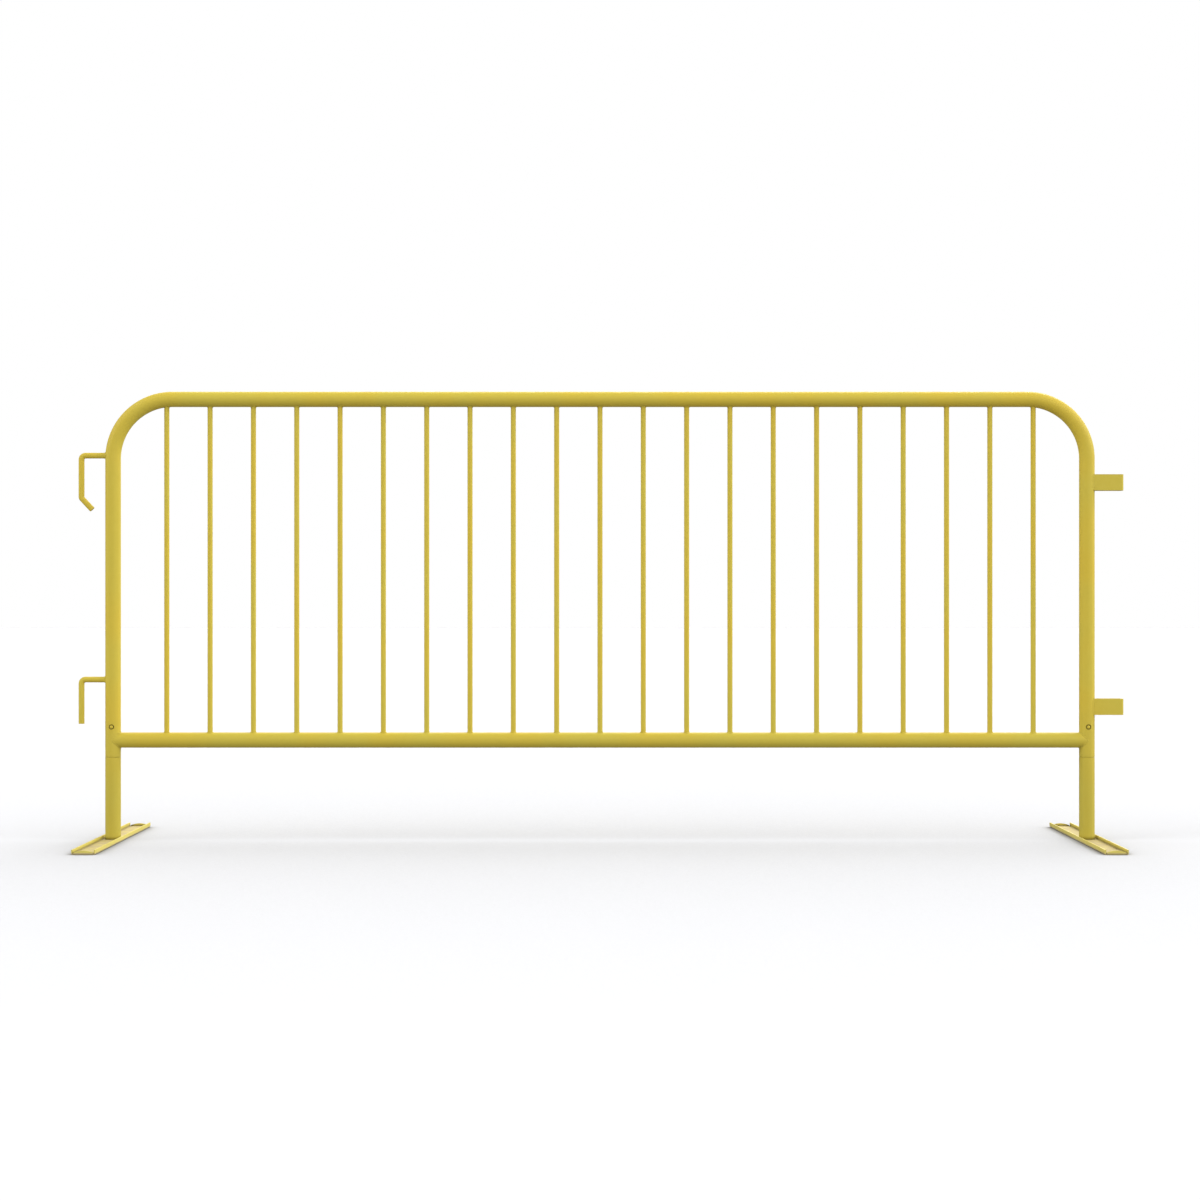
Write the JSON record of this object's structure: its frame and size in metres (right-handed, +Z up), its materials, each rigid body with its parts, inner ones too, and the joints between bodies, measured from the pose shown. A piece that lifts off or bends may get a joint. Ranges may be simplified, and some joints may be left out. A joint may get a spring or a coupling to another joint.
{
  "type": "crowd control barrier",
  "caption": "Interlocking steel crowd control barrier: bent tube frame with slender uprights, side hooks and receiver loops, and lift-off tray feet held by spring buttons.",
  "frame": {"origin": "on the floor, midway along the overall length and on the plane of the frame", "axes": "+X along the barrier from the hooks to the receivers, +Y from the button side to the back, +Z up"},
  "size_m": [2.5908, 0.61, 1.113],
  "materials": {
    "yellow_powder_coat": "satin powder coat over steel",
    "zinc_steel": "zinc plated"
  },
  "bodies": {
    "foot_left": {"foot_plate_left": "yellow_powder_coat", "foot_stem_left": "yellow_powder_coat", "foot_spigot_left": "yellow_powder_coat", "snap_spring_left": "zinc_steel"},
    "frame": {"outer_frame_tube": "yellow_powder_coat", "bottom_rail": "yellow_powder_coat", "upright_01": "yellow_powder_coat", "upright_02": "yellow_powder_coat", "upright_03": "yellow_powder_coat", "upright_04": "yellow_powder_coat", "upright_05": "yellow_powder_coat", "upright_06": "yellow_powder_coat", "upright_07": "yellow_powder_coat", "upright_08": "yellow_powder_coat", "upright_09": "yellow_powder_coat", "upright_10": "yellow_powder_coat", "upright_11": "yellow_powder_coat", "upright_12": "yellow_powder_coat", "upright_13": "yellow_powder_coat", "upright_14": "yellow_powder_coat", "upright_15": "yellow_powder_coat", "upright_16": "yellow_powder_coat", "upright_17": "yellow_powder_coat", "upright_18": "yellow_powder_coat", "upright_19": "yellow_powder_coat", "upright_20": "yellow_powder_coat", "upright_21": "yellow_powder_coat", "hook_upper": "yellow_powder_coat", "hook_lower": "yellow_powder_coat", "receiver_upper": "yellow_powder_coat", "receiver_lower": "yellow_powder_coat"},
    "foot_right": {"foot_plate_right": "yellow_powder_coat", "foot_stem_right": "yellow_powder_coat", "foot_spigot_right": "yellow_powder_coat", "snap_spring_right": "zinc_steel"},
    "snap_button_left": {"snap_button_left": "yellow_powder_coat"},
    "snap_button_right": {"snap_button_right": "yellow_powder_coat"}
  },
  "joints": [
    {"name": "frame_lift", "type": "slide", "parent": "foot_left", "child": "frame", "axis": [0, 0, 1], "range_m": [0, 0.12], "deforming": ["snap_button_left", "snap_button_right"]},
    {"name": "foot_right_draw", "type": "slide", "parent": "frame", "child": "foot_right", "axis": [0, 0, -1], "range_m": [0, 0.12]},
    {"name": "snap_button_left_press", "type": "slide", "parent": "foot_left", "child": "snap_button_left", "axis": [0, 1, 0], "range_m": [0, 0.006], "stiffness_N_per_m": 2500, "springref_m": -0.003, "deforming": ["snap_spring_left"]},
    {"name": "snap_button_right_press", "type": "slide", "parent": "foot_right", "child": "snap_button_right", "axis": [0, 1, 0], "range_m": [0, 0.006], "stiffness_N_per_m": 2500, "springref_m": -0.003, "deforming": ["snap_spring_right"]}
  ],
  "couplings": [
    {"joint": "foot_right_draw", "follows": "frame_lift", "ratio": 1}
  ]
}
